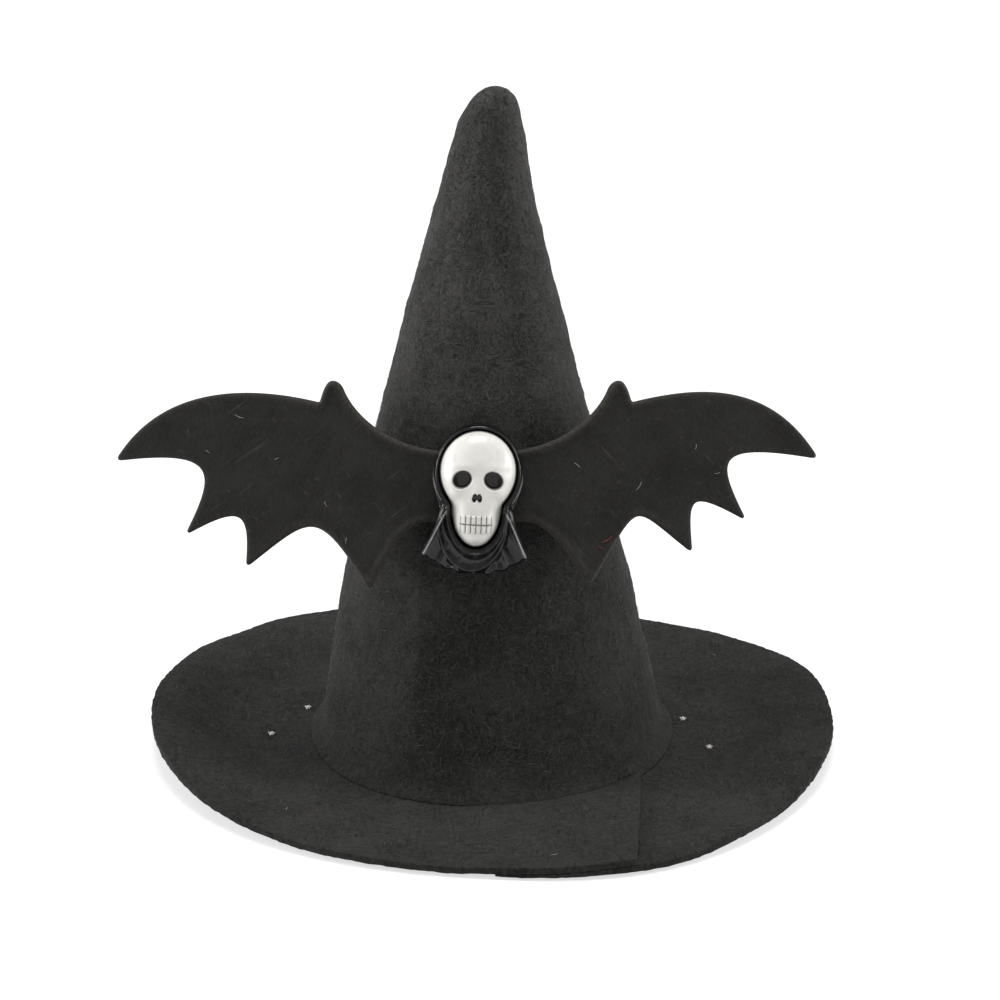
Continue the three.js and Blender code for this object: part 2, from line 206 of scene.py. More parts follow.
def foot_flare(turn, z=0.0):
    """How far the foot is pressed out: 0.8 mm, fading out upwards with the square of the height that is left
    to 9 mm, and 3.4 mm more within about 62 degrees of the front, fading out to 22 mm."""
    front = np.exp(-((degrees_between(turn, 0) / 62) ** 4))
    low = 1 - np.clip((z - felt_thickness) / (9 * mm - felt_thickness), 0, 1)
    tall = 1 - np.clip((z - felt_thickness) / (22 * mm - felt_thickness), 0, 1)
    return (0.8 * low ** 2 + 3.4 * front * tall ** 1.4) * mm


def crown_relief(turn, z, radius):
    """How far the felt stands off the plain cone. Turn is from the front, positive to the right."""
    left, right = -29.5 + 4.5 * (1 - z / (46 * mm)), 26 - 8 * (1 - z / (46 * mm))
    half = np.radians((right - left) / 2)
    across = np.radians(degrees_between(turn, (left + right) / 2))
    chord = radius * (np.cos(half) / np.cos(np.clip(across, -half, half)) - 1)
    panel = 0.85 * chord * (1 - smoothstep(z, 44 * mm, 66 * mm))
    waist = -0.7 * mm * np.exp(-(((z - 28 * mm) / (13 * mm)) ** 2))
    waist = waist + 0.2 * mm * smoothstep(z, 50 * mm, 80 * mm)
    folds = (
        crease(turn, z, (104 * mm, 8), (128 * mm, 3), 17, 1.15 * mm)
        + crease(turn, z, (66 * mm, 24), (102 * mm, 14), 12, 1.0 * mm)
        + crease(turn, z, (92 * mm, -46), (118 * mm, -40), 14, 0.35 * mm)
        + crease(turn, z, (119 * mm, -85), (127 * mm, -85), 40, -0.8 * mm)
        + crease(turn, z, (62 * mm, -28), (88 * mm, -38), 13, 0.3 * mm)
        + crease(turn, z, (8 * mm, -62), (40 * mm, -70), 11, 0.35 * mm)
        + crease(turn, z, (10 * mm, 68), (62 * mm, 60), 12, 0.4 * mm)
        + crease(turn, z, (14 * mm, 128), (74 * mm, 118), 13, 0.5 * mm)
        + crease(turn, z, (20 * mm, -135), (80 * mm, -120), 14, 0.5 * mm)
    )
    x, y = radius * np.sin(turn), -radius * np.cos(turn)
    points = np.stack([x, y, z], -1)
    lumps = 0.16 * mm * ripple(points, 17 * mm, 3) + 0.06 * mm * ripple(points, 6 * mm, 4)
    lap = degrees_between(turn, 180) * np.radians(1) * radius
    lap_step = 0.45 * mm * smoothstep(lap, -0.25 * mm, 0.25 * mm) * (1 - smoothstep(lap, 6 * mm, 14 * mm))
    lap_line = -0.3 * mm * np.exp(-((lap / (0.35 * mm)) ** 2))
    near_tip = 1 - smoothstep(z, hat_height - 8 * mm, hat_height)
    seam = (lap_step + lap_line) * near_tip * smoothstep(z, 4 * mm, 8 * mm)
    return (panel + waist + folds + lumps) * near_tip + seam


def crown_point(turn, radius, z, roughness):
    """A point of the cone: its profile radius with the flare, the relief and the lip over the foot's glue
    added, turned about the shifted axis. Roughness is 1 on the outside, which has nap, and 0 inside."""
    relief = crown_relief(turn, z, radius) * smoothstep(radius, 0, 3 * mm) * smoothstep(z, 1.6 * mm, 9 * mm)
    lip = 1.55 * mm * roughness * smoothstep(z, 1.5 * mm, 1.62 * mm) * (1 - smoothstep(z, 1.7 * mm, 3.4 * mm))
    reach = np.maximum(radius + foot_flare(turn, z) + relief + lip, 0)
    x, y = reach * np.sin(turn), -reach * np.cos(turn)
    points = np.stack([x + axis_shift(z), y, z * np.ones_like(x)], -1)
    nap = roughness * (0.035 * ripple(points, 2.3 * mm, 5, 30) + 0.03 * ripple(points, 1.35 * mm, 6, 30)) * mm
    outward = np.stack([np.sin(turn), -np.cos(turn), np.zeros_like(turn)], -1)
    return points + outward * (nap * smoothstep(radius, 0, 1.5 * mm))[..., None]


def pattern(tree, kind, coordinates, scale, detail=3.0, roughness=0.55, distortion=0.0):
    """A noise texture on these coordinates, of scale features a metre, and its value."""
    node = tree.nodes.new("ShaderNodeTexNoise")
    node.noise_type = kind
    settings = {"Scale": scale, "Detail": detail, "Roughness": roughness, "Distortion": distortion}
    for name, value in settings.items():
        node.inputs[name].default_value = value
    tree.links.new(coordinates, node.inputs["Vector"])
    return node.outputs[0]


def stretched(tree, coordinates, scale, turn=(0, 0, 0)):
    """The coordinates turned and scaled by axis, so that a pattern on them is drawn out along one."""
    node = tree.nodes.new("ShaderNodeMapping")
    node.inputs["Rotation"].default_value = [math.radians(angle) for angle in turn]
    node.inputs["Scale"].default_value = scale
    tree.links.new(coordinates, node.inputs["Vector"])
    return node.outputs[0]


def blended(tree, share, low, high):
    """low mixed with high by a share. Each is a number or a node's output."""
    node = tree.nodes.new("ShaderNodeMix")
    for socket, value in zip((node.inputs["Factor"], node.inputs["A"], node.inputs["B"]), (share, low, high)):
        if isinstance(value, (int, float)):
            socket.default_value = value
        else:
            tree.links.new(value, socket)
    return node.outputs["Result"]


def mixed_colours(tree, share, low, high):
    """The colour low mixed with the colour high by a share. High is a node's output or a plain colour."""
    node = tree.nodes.new("ShaderNodeMix")
    node.data_type = "RGBA"
    tree.links.new(share, node.inputs["Factor"])
    tree.links.new(low, node.inputs[6])
    if isinstance(high, tuple):
        node.inputs[7].default_value = high
    else:
        tree.links.new(high, node.inputs[7])
    return node.outputs[2]


def share_of(tree, name):
    """The share that a piece's own attribute of this name gives at each point."""
    node = tree.nodes.new("ShaderNodeAttribute")
    node.attribute_name = name
    return node.outputs["Fac"]


def store_share(piece, name, values):
    """Keeps one number for each point of a piece, for its material to read."""
    piece.data.attributes.new(name, "FLOAT", "POINT").data.foreach_set("value", values.astype(np.float32))


def tones(tree, value, stops):
    """Colours by value, from (position, colour) stops."""
    node = tree.nodes.new("ShaderNodeValToRGB")
    ramp = node.color_ramp.elements
    for _ in stops[2:]:
        ramp.new(0.5)
    for element, (place, colour) in zip(ramp, stops):
        element.position = place
        element.color = (*colour, 1)
    tree.links.new(value, node.inputs["Fac"])
    return node.outputs["Color"]


def bumped(tree, value, depth, strength, surface):
    """Raises the surface's shading by a value times depth."""
    node = tree.nodes.new("ShaderNodeBump")
    node.inputs["Strength"].default_value = strength
    node.inputs["Distance"].default_value = depth
    tree.links.new(value, node.inputs["Height"])
    tree.links.new(node.outputs["Normal"], surface.inputs["Normal"])


def surface_of(name, **settings):
    """A new material: its node tree, its Principled shader with these sockets set, and the piece's own
    coordinates."""
    material = bpy.data.materials.new(name)
    material.use_nodes = True
    tree = material.node_tree
    surface = tree.nodes["Principled BSDF"]
    for socket, value in settings.items():
        surface.inputs[socket.replace("_", " ")].default_value = value
    return material, tree, surface, tree.nodes.new("ShaderNodeTexCoord").outputs["Object"]


def felt(name, dark, pale, fibre, swirl, depth, sheen, painted_light_gain=(1, 1)):
    """Needled felt: short fibres that lie in patches of one direction and then another, darker and paler
    patches some millimetres wide, and a nap that catches the light at a glancing angle. Its tone is
    multiplied along the height by two gains: the first at the foot, as painted shade, and the second at the
    tip, as painted light."""
    material, tree, surface, own = surface_of(
        name, Roughness=0.92, Sheen_Weight=sheen, Sheen_Roughness=0.45, Sheen_Tint=(0.8, 0.79, 0.77, 1))
    surface.inputs["Specular IOR Level"].default_value = 0.12
    upright = pattern(tree, "FBM", stretched(tree, own, (1, 1, 0.3), (12, 0, 0)), fibre, 3, 0.6, swirl)
    level = pattern(tree, "FBM", stretched(tree, own, (0.3, 1, 1), (0, 0, 20)), fibre, 3, 0.6, swirl)
    away = pattern(tree, "FBM", stretched(tree, own, (1, 0.3, 0.8), (0, 25, -30)), fibre, 3, 0.6, swirl)
    patch = pattern(tree, "FBM", own, 190, 2, 0.5, 0.8)
    other = pattern(tree, "FBM", stretched(tree, own, (1, 1, 1), (40, 20, 60)), 230, 2, 0.5, 0.8)
    choose = tones(tree, patch, [(0.46, (0, 0, 0)), (0.54, (1, 1, 1))])
    choose_again = tones(tree, other, [(0.46, (0, 0, 0)), (0.54, (1, 1, 1))])
    fibres = blended(tree, choose_again, blended(tree, choose, upright, level), away)
    patches = pattern(tree, "FBM", own, 75, 3, 0.6, 0.4)
    value = blended(tree, 0.28, fibres, patches)
    colour = tones(tree, value, [(0.4, dark), (0.5, [(a + b) / 2 for a, b in zip(dark, pale)]), (0.6, pale)])
    height = tree.nodes.new("ShaderNodeSeparateXYZ")
    tree.links.new(own, height.inputs["Vector"])
    # Painted light: the colour is scaled along the height, darker at the foot as painted shade and paler at
    # the tip as painted light.
    tone = tree.nodes.new("ShaderNodeMapRange")
    for socket, limit in (("From Max", hat_height), ("To Min", painted_light_gain[0]), ("To Max", painted_light_gain[1])):
        tone.inputs[socket].default_value = limit
    tree.links.new(height.outputs["Z"], tone.inputs["Value"])
    toned = tree.nodes.new("ShaderNodeVectorMath")
    toned.operation = "SCALE"
    tree.links.new(colour, toned.inputs[0])
    tree.links.new(tone.outputs["Result"], toned.inputs["Scale"])
    tree.links.new(toned.outputs["Vector"], surface.inputs["Base Color"])
    bumped(tree, fibres, depth, 0.8, surface)
    return material


# The crown's two gains paint shade onto its foot and light onto its tip.
crown_felt = felt("crown needle felt", dark=(0.01, 0.0098, 0.0094), pale=(0.034, 0.0334, 0.0318), fibre=1500,
                  swirl=1.6, depth=0.28 * mm, sheen=0.05, painted_light_gain=(0.74, 1.52))

around = 330
turns = np.linspace(0, 2 * np.pi, around, endpoint=False)
outer = cone_outline(0, 52, 118, 20)
outer = outer[outer[:, 1] > felt_thickness + 0.3 * mm]
outer = np.concatenate([[[np.interp(1.62 * mm, outer[:, 1], outer[:, 0]), 1.62 * mm]], outer])
inner = cone_outline(crown_wall, 14, 30, 8)
inner = inner[inner[:, 1] > felt_thickness + 0.3 * mm]
foot = np.array([
    [foot_radius - crown_wall - foot_inset, 0.3 * mm], [foot_radius - crown_wall - foot_inset + 0.3 * mm, 0],
    [foot_radius - 0.25 * mm, 0], [foot_radius, 0.25 * mm], [foot_radius, felt_thickness]])
profile = np.concatenate([inner[::-1][:-1], foot, outer])
shown = np.concatenate([np.zeros(len(inner) - 1 + len(foot)), np.ones(len(outer))])
ring_turns, ring_radius = np.meshgrid(turns, profile[:, 0])
_, ring_height = np.meshgrid(turns, profile[:, 1])
crown_rings = crown_point(ring_turns, ring_radius, ring_height, shown[:, None])
crown = new_piece("crown_felt_cone", *rings_skin(crown_rings), crown_felt)
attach(crown, "hat")
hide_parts("crown_felt")

# ---------------------------------------------------------------------------------------------------------
# Brim. One sheet of pressed felt 1.3 mm thick, cut to a ring by hand and slit. It is glued round the foot
# and lies on the table. Its ends lap at the front right: the lower one is thinned, the upper climbs onto it.
# ---------------------------------------------------------------------------------------------------------

brim_radius = 65.4 * mm
brim_hole = foot_radius + 0.85 * mm
brim_rest = 0.15 * mm
brim_level = foot_radius + 12.4 * mm
under_end = 0.5 * mm
upper_end = 25.5 * mm
thin_edge = 0.4 * mm
lap_gap = 0.03 * mm


def brim_edge(turn):
    """Radius of the brim's edge at a turn: a circle whose edge wanders in two and in three lobes and bulges
    at the lapped corner and the right."""
    wander = 0.8 * np.cos(2 * (turn - math.radians(118))) + 0.75 * np.cos(3 * (turn + math.radians(30)))
    bulges = ((3.6, -66, 20), (1.4, 21, 13), (-2.6, 58, 16), (-1.4, 66, 24), (0.9, -140, 28), (0.6, -43, 16))
    for out, middle, spread in bulges:
        wander = wander + out * np.exp(-((degrees_between(turn, middle) / spread) ** 2))
    return brim_radius + wander * mm


def brim_under(x, y):
    """Height of the brim's underside: level by the crown, and rising outwards at both sides with the cube
    of the cosine of the turn, with a slight wave."""
    radius = np.hypot(x, y)
    sideways = x / radius
    lift = np.where(sideways > 0, 3.2 * mm, 5 * mm) * np.abs(sideways) ** 3
    rise = smoothstep(radius, brim_level, brim_radius)
    flat = np.stack([x, y, np.zeros_like(x)], -1)
    loose = smoothstep(radius, brim_hole + 8 * mm, brim_level + 6 * mm)
    return brim_rest + lift * rise + (0.2 + 0.2 * ripple(flat, 24 * mm, 8)).clip(0) * mm * loose


def under_thickness(x):
    """Thickness of the lower end: whole where the upper one ends, thinned in a straight line to its tip."""
    return thin_edge + (felt_thickness - thin_edge) * np.clip((x - under_end) / (upper_end - under_end), 0, 1)


def lap_rise(x):
    """How far the upper end stands up on the lower one, over a run of 9 mm before the lower end's tip."""
    return (under_thickness(x) + lap_gap) * smoothstep(x, under_end - 9 * mm, under_end - 0.3 * mm)


def block_skin(along, across, up):
    """The outside of a block as one closed skin: the lattice points on its six sides, and their quads."""
    shape = (len(along), len(across), len(up))
    i, j, k = np.indices(shape)
    outside = (i % (shape[0] - 1) == 0) | (j % (shape[1] - 1) == 0) | (k % (shape[2] - 1) == 0)
    number = np.zeros(shape, int)
    number[outside] = np.arange(outside.sum())
    quads = []
    for axis in range(3):
        for end in (0, -1):
            side = np.take(number, end, axis)
            quad = np.stack([side[:-1, :-1], side[1:, :-1], side[1:, 1:], side[:-1, 1:]], -1).reshape(-1, 4)
            quads.append(quad if (end == 0) != (axis == 1) else quad[:, ::-1])
    return np.stack([along[i[outside]], across[j[outside]], up[k[outside]]], -1), np.concatenate(quads)


def softened(points, size, radius):
    """Rounds a block's edges: a point keeps its nearest point of the core set in by the radius, and goes
    the radius from it."""
    core = np.clip(points, radius, np.array(size) - radius)
    away = points - core
    return core + radius * away / np.linalg.norm(away, axis=-1, keepdims=True)


def graded(length, steps, edge):
    """Places along a length, even in the middle and drawn closer at both ends, for a rounded edge."""
    near = edge * np.array([0, 0.25, 0.55, 1])
    return np.concatenate([near, np.linspace(edge, length - edge, steps)[1:-1], length - near[::-1]])


def brim_point(block, size):
    """A point of the sheet from its place along, across and up: a ring slit across the front, whose ends
    run nearly straight front to back, with the lapped end raised by what lies below it."""
    along, outward, up = (block / size).T
    drawn = brim_hole + (brim_radius - brim_hole) * outward
    start = -np.arccos(under_end / drawn)
    end = 2 * np.pi - np.arccos((upper_end - 0.9 * mm * outward) / drawn)
    turn = start + (end - start) * along
    hole = brim_hole + foot_flare(turn + np.pi / 2)
    radius = hole + (brim_edge(turn) - hole) * outward
    x, y = radius * np.cos(turn), radius * np.sin(turn)
    thickness = np.where(turn < 0, under_thickness(x), felt_thickness)
    z = brim_under(x, y) + np.where(turn > np.pi, lap_rise(x), 0) + up * thickness
    points = np.stack([x, y, z], -1)
    nap = 0.03 * ripple(points, 2.1 * mm, 10, 30) + 0.03 * ripple(points, 1.3 * mm, 11, 30)
    at_edge = smoothstep(outward, 0.985, 1) - smoothstep(outward, 0.015, 0)
    ragged = 0.09 * ripple(points, 1.7 * mm, 12, 30) * at_edge
    radial = np.stack([np.cos(turn), np.sin(turn), np.zeros_like(turn)], -1)
    facing = np.where(up > 0.5, 1, -1) * smoothstep(np.abs(up - 0.5), 0.2, 0.5)
    return points + radial * (ragged * mm)[:, None] + [0, 0, 1] * (facing * nap * mm)[:, None]


brim_felt = felt("brim pressed felt", dark=(0.0085, 0.0083, 0.008), pale=(0.0255, 0.025, 0.0238), fibre=1500,
                 swirl=1.2, depth=0.22 * mm, sheen=0.04)

sheet_size = np.array([300 * mm, brim_radius - brim_hole, felt_thickness])
lattice, brim_quads = block_skin(
    graded(sheet_size[0], 500, 0.22 * mm), graded(sheet_size[1], 50, 0.22 * mm),
    graded(sheet_size[2], 4, 0.22 * mm))
brim = new_piece(
    "brim_felt_ring", brim_point(softened(lattice, sheet_size, 0.22 * mm), sheet_size), brim_quads, brim_felt)

# Two small holes are punched through the brim at each side for the chin strap's thread
tack_hole = 0.55 * mm
tack_places = [
    (f"{hand}_{name}", side * (foot_radius + reach) * math.cos(math.radians(turn - 4.5 * side)),
     (foot_radius + reach) * math.sin(math.radians(turn - 4.5 * side)))
    for hand, side in (("left", -1), ("right", 1))
    for name, reach, turn in (("rear", 4.1 * mm, 9), ("front", 9.9 * mm, -10))
]
for name, x, y in tack_places:
    turn = np.linspace(0, 2 * np.pi, 20, endpoint=False)
    rim = np.stack([x + tack_hole * np.cos(turn), y + tack_hole * np.sin(turn), 0 * turn], -1)
    levels = np.array([-2, -2, 8, 8]) * mm
    drill = new_piece(
        "drill", *rings_skin(rim + [0, 0, 1] * levels[:, None, None]), brim_felt)
    cut = brim.modifiers.new("hole", "BOOLEAN")
    cut.operation = "DIFFERENCE"
    cut.object = drill
    drilled = bpy.data.meshes.new_from_object(brim.evaluated_get(bpy.context.evaluated_depsgraph_get()))
    brim.modifiers.clear()
    brim.data = drilled
    bpy.data.objects.remove(drill)
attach(brim, "hat")
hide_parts("brim_felt")

# ---------------------------------------------------------------------------------------------------------
# Loose fibres. Single wool fibres stand off both felts, most of them lying nearly flat. They are part of
# the felt itself, held by the needling at their ends.
# ---------------------------------------------------------------------------------------------------------


def lay_fibres(name, place, start, scale, count, lengths, lift, thickness, material, seed):
    """Each fibre starts at a point of a surface chart and runs on a heading that turns steadily as it goes.
    It arches off the surface by lift times sin(pi t), and is a three-sided thread pointed at both ends."""
    rng = np.random.default_rng(seed)
    stations = 6
    t = np.linspace(0, 1, stations)
    heading = rng.uniform(0, 2 * np.pi, (count, 1)) + rng.normal(0, 0.45, (count, 1)) * t
    length = rng.uniform(*lengths, (count, 1))
    step = length / (stations - 1)
    u = start[0][:, None] + np.cumsum(np.cos(heading) * step, 1) * scale[0][:, None]
    v = start[1][:, None] + np.cumsum(np.sin(heading) * step, 1) * scale[1][:, None]
    small = 0.05 * mm
    middle = place(u, v)
    one_way = place(u + small * scale[0][:, None], v) - middle
    other_way = place(u, v + small * scale[1][:, None]) - middle
    normal = np.cross(one_way, other_way)
    normal /= np.linalg.norm(normal, axis=-1, keepdims=True)
    rise = np.abs(rng.normal(0, lift, (count, 1)))
    middle = middle + normal * (0.03 * mm + rise * np.sin(np.pi * t) ** 0.8)[..., None]
    along = np.gradient(middle, axis=1)
    along /= np.linalg.norm(along, axis=-1, keepdims=True)
    across = np.cross(along, normal)
    turn = np.linspace(0, 2 * np.pi, 3, endpoint=False)[:, None]
    ring = np.cos(turn) * normal[:, 1:-1, None] + np.sin(turn) * across[:, 1:-1, None]
    rings = middle[:, 1:-1, None] + thickness / 2 * ring
    points = np.concatenate([middle[:, :1], rings.reshape(count, -1, 3), middle[:, -1:]], 1)
    inner = stations - 2
    first = 1 + 3 * np.arange(inner - 1)[:, None] + np.arange(3)
    second = 1 + 3 * np.arange(inner - 1)[:, None] + np.roll(np.arange(3), -1)
    sides = np.stack([first, second, second + 3, first + 3], -1).reshape(-1, 4)
    last = 3 * inner + 1
    start_fan = [[0, 1 + (a + 1) % 3, 1 + a] for a in range(3)]
    end_fan = [[last, last - 3 + a, last - 3 + (a + 1) % 3] for a in range(3)]
    shift = np.arange(count)[:, None, None] * points.shape[1]
    faces = (shift + sides).reshape(-1, 4).tolist()
    faces += (shift + [*start_fan, *end_fan]).reshape(-1, 3).tolist()
    return new_piece(name, points.reshape(-1, 3), faces, material)


fibre_wool, tree, surface, own = surface_of("loose black wool", Roughness=0.8, Sheen_Weight=0.3)
clumps = pattern(tree, "FBM", own, 260, 2)
tree.links.new(tones(tree, clumps, [(0.35, (0.01, 0.0097, 0.0092)), (0.65, (0.03, 0.0292, 0.0275))]),
               surface.inputs["Base Color"])

outline_length = np.concatenate([[0], np.cumsum(np.linalg.norm(np.diff(outer, axis=0), axis=1))])


def crown_surface(turn, run):
    """A point of the cone's outside, by its turn and how far it is up the outline."""
    radius = np.interp(run, outline_length, outer[:, 0])
    return crown_point(turn, radius, np.interp(run, outline_length, outer[:, 1]), 1.0)


crown_count = 7800
rng = np.random.default_rng(21)
run = 3.5 * mm + (outline_length[-1] - 10 * mm) * (1 - np.sqrt(rng.uniform(0.001, 0.99, crown_count)))
crown_fibres = lay_fibres(
    "crown_loose_fibres", crown_surface, (rng.uniform(0, 2 * np.pi, crown_count), run),
    (1 / np.maximum(np.interp(run, outline_length, outer[:, 0]), 2 * mm), np.ones(crown_count)),
    crown_count, (1.0 * mm, 2.8 * mm), 0.08 * mm, 0.034 * mm, fibre_wool, 22)
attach(crown_fibres, "hat")


def brim_surface(x, y):
    """A point of the brim's top, the lapped end counted in."""
    over = (y < 0) & (x < upper_end)
    return np.stack([x, y, brim_under(x, y) + lap_rise(x) * over + felt_thickness], -1)


brim_count = 6500
turn = rng.uniform(0, 2 * np.pi, brim_count)
near = brim_hole + foot_flare(turn + np.pi / 2) + 2 * mm
reach = np.sqrt(rng.uniform(near ** 2, (brim_radius - 2.5 * mm) ** 2, brim_count))
brim_fibres = lay_fibres(
    "brim_loose_fibres", brim_surface, (reach * np.cos(turn), reach * np.sin(turn)),
    (np.ones(brim_count), np.ones(brim_count)),
    brim_count, (0.9 * mm, 2.4 * mm), 0.07 * mm, 0.032 * mm, fibre_wool, 24)
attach(brim_fibres, "hat")

# ---------------------------------------------------------------------------------------------------------
# Strap tacks. The chin strap was tied on with pale thread at two places a side: a small knot on top of the
# brim, and the thread down through the hole, cut off level with the brim's underside.
# ---------------------------------------------------------------------------------------------------------

thread_paint, tree, surface, own = surface_of("pale twisted thread", Roughness=0.7, Sheen_Weight=0.2)
twist = pattern(tree, "FBM", stretched(tree, own, (1, 1, 3), (30, 20, 0)), 2200, 2, 0.6, 0.5)
tree.links.new(tones(tree, twist, [(0.35, (0.3, 0.28, 0.25)), (0.65, (0.72, 0.69, 0.63))]),
               surface.inputs["Base Color"])
bumped(tree, twist, 0.05 * mm, 0.7, surface)


def tube(path, radius, sides=8, closed=False):
    """A round tube along a path: rings of points square to it, turned with the path's own bend."""
    if closed:
        along = np.roll(path, -1, 0) - np.roll(path, 1, 0)
    else:
        along = np.gradient(path, axis=0)
    along /= np.linalg.norm(along, axis=1, keepdims=True)
    aside = np.cross(along, [0.12, 0.3, 0.95])
    aside /= np.linalg.norm(aside, axis=1, keepdims=True)
    upward = np.cross(along, aside)
    turn = np.linspace(0, 2 * np.pi, sides, endpoint=False)[:, None]
    rings = path[:, None] + radius * (np.cos(turn) * aside[:, None] + np.sin(turn) * upward[:, None])
    if not closed:
        return rings_skin(np.concatenate([rings[:1], rings, rings[-1:]]))
    here = np.arange(len(path))[:, None] * sides
    there = np.roll(here, -1, 0)
    side, other = np.arange(sides), np.roll(np.arange(sides), -1)
    quads = np.stack([here + side, here + other, there + other, there + side], -1)
    return rings.reshape(-1, 3), quads.reshape(-1, 4).tolist()


def joined(parts):
    """Points and faces of several skins as those of one."""
    points, faces = np.zeros((0, 3)), []
    for more_points, more_faces in parts:
        faces += [[index + len(points) for index in face] for face in more_faces]
        points = np.concatenate([points, more_points])
    return points, faces


def knot_path(width, height, steps=90):
    """A flattened overhand knot: (sin t + 2 sin 2t, cos t - 2 cos 2t, -sin 3t), to a width and height."""
    t = np.linspace(0, 2 * np.pi, steps, endpoint=False)
    return np.stack([
        (np.sin(t) + 2 * np.sin(2 * t)) * width / 6, (np.cos(t) - 2 * np.cos(2 * t)) * width / 6,
        -np.sin(3 * t) * height / 2], -1)


for name, x, y in tack_places:
    brim_top = brim_rest + felt_thickness
    parts = [
        tube(knot_path(0.95 * mm, 0.3 * mm) + [x, y, brim_top + 0.32 * mm], 0.15 * mm, closed=True),
        tube(np.array([x, y, 0]) + np.linspace([0.1, 0, 0], [0, 0.1, 0], 9) * mm
             + np.linspace([0, 0, brim_rest], [0, 0, brim_top + 0.3 * mm], 9), 0.16 * mm),
    ]
    for end, way in enumerate(((1, 0.25), (0.55, -0.8))):
        t = np.linspace(0, 1, 7)[:, None]
        tail = np.array([[way[0], way[1], 0]]) * t + [0, 0, 0.12] * np.sin(np.pi * t)
        parts.append(tube(tail * mm * 0.8 + [x, y, brim_top + (0.3 - 0.06 * end) * mm], 0.09 * mm, 6))
    stitch = new_piece(f"strap_stitch_{name}", *joined(parts), thread_paint)
    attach(stitch, "hat")
    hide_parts(f"strap_tack_{name}")

# ---------------------------------------------------------------------------------------------------------
# Wings. Each is one piece of smooth, stiff black felt 1.6 mm thick, cut by hand and pressed so that its
# edges are rounded and a rim stands up round its inner half. Its root is glued to the crown.
# ---------------------------------------------------------------------------------------------------------

front_lean = math.radians(14.073)
front_origin = np.array([-3, -22.137, 55]) * mm
front_up = np.array([0, math.sin(front_lean), math.cos(front_lean)])
front_out = np.array([0, -math.cos(front_lean), math.sin(front_lean)])
wing_middle = 1.65
wing_half = 0.8
hinge_reach = 14
wing_sweep = math.radians(10)
edge_margin = 0.22
edge_drop = 0.16


def on_front(u, v, n):
    """A point of the front from millimetres to the right, up the crown's front, and out from it."""
    return front_origin + mm * (
        u[..., None] * [1.0, 0, 0] + v[..., None] * front_up + n[..., None] * front_out)


def curve(*control, step=0.45):
    """A Bezier curve of two, three or four points by repeated halving of the way between them, without its
    last point, about one step apart."""
    control = np.array(control, float)
    length = np.linalg.norm(np.diff(control, axis=0), axis=1).sum()
    t = np.linspace(0, 1, max(3, int(length / step)), endpoint=False)[:, None, None]
    stage = np.broadcast_to(control, (len(t), *control.shape))
    while stage.shape[1] > 1:
        stage = stage[:, :-1] * (1 - t) + stage[:, 1:] * t
    return stage[:, 0]


def wing_outline(hook, tip, first, second, lobe):
    """The wing's cut edge for a reach to the right: the arm and thumb, the arc to the tip, and the scallops
    between the claws. Its corners are rounded by averaging neighbours, and it is moved out by the margin
    and down by the drop."""
    tip, first, second, lobe, thumb, notch = (
        np.array(p) for p in (tip, first, second, lobe, (27.1, 23.4), (28.8, 19.4)))
    edge = np.concatenate([
        curve((0.3, 10.6), (5, 10.6)),
        curve((5, 10.6), (14, 10.8), (22.5, 16), thumb + (-2.2, -0.75)),
        curve(thumb + (-2.2, -0.75), thumb + (-1.1, 0.55), thumb),
        curve(thumb, thumb + (1.1, -1.1), notch),
        curve(notch, notch + (13, 3), tip + (-8.8, 14.3), tip),
        curve(tip, tip + (-20.7, hook), first + (-5.4, 10.8), first),
        curve(first, first + (-11.3, 6.5), second + (-0.8, 9.8), second),
        curve(second, second + (-12, 9.5), lobe + (9.9, 16.4), lobe),
        curve(lobe, (14, -2), (9, -2)),
        curve((9, -2), (0.3, -2)),
        curve((0.3, -2), (0.3, 10.6)),
    ])
    for _ in range(2):
        edge = 0.25 * np.roll(edge, 1, 0) + 0.5 * edge + 0.25 * np.roll(edge, -1, 0)
    tangent = np.roll(edge, -1, 0) - np.roll(edge, 1, 0)
    outward = np.stack([-tangent[:, 1], tangent[:, 0]], -1) / np.linalg.norm(tangent, axis=1, keepdims=True)
    return edge + edge_margin * outward - (0, edge_drop)


def distance_to(edge, points):
    """Distance of each point from a closed outline, the least over its straight pieces."""
    start, way = edge, np.roll(edge, -1, 0) - edge
    best = np.full(len(points), np.inf)
    for block in np.array_split(np.arange(len(edge)), 12):
        off = points[:, None] - start[block]
        t = np.clip((off * way[block]).sum(-1) / (way[block] ** 2).sum(-1), 0, 1)
        gap = np.linalg.norm(off - t[..., None] * way[block], axis=-1)
        best = np.minimum(best, gap.min(1))
    return best


def inside(edge, points):
    """Whether each point is inside a closed outline, by the crossings of a line to its right."""
    (x1, y1), (x2, y2) = edge.T, np.roll(edge, -1, 0).T
    x, y = points[:, 0, None], points[:, 1, None]
    spans = (y1 > y) != (y2 > y)
    crossing = x < (x2 - x1) * (y - y1) / np.where(y2 == y1, 1, y2 - y1) + x1
    return (spans & crossing).sum(1) % 2 == 1


def wing_bend(reach):
    """Place and lean of the sheet's middle at a reach: straight at the root, then turned back by the sweep
    over a few millimetres about the hinge line."""
    run = np.linspace(0, 80, 1601)
    lean = wing_sweep * smoothstep(run, hinge_reach - 3.5, hinge_reach + 3.5)
    step = run[1] - run[0]
    x = np.cumsum(np.cos(lean)) * step - step
    n = wing_middle - np.cumsum(np.sin(lean)) * step
    return np.interp(reach, run, x), np.interp(reach, run, n), np.interp(reach, run, lean)


def wing_wave(spot, reach):
    """How far the sheet lies off its plane: a long wave that grows outwards, and a short faint one."""
    return 0.32 * ripple(spot, 46, 33) * smoothstep(reach, 16, 30) + 0.05 * ripple(spot, 11, 34)


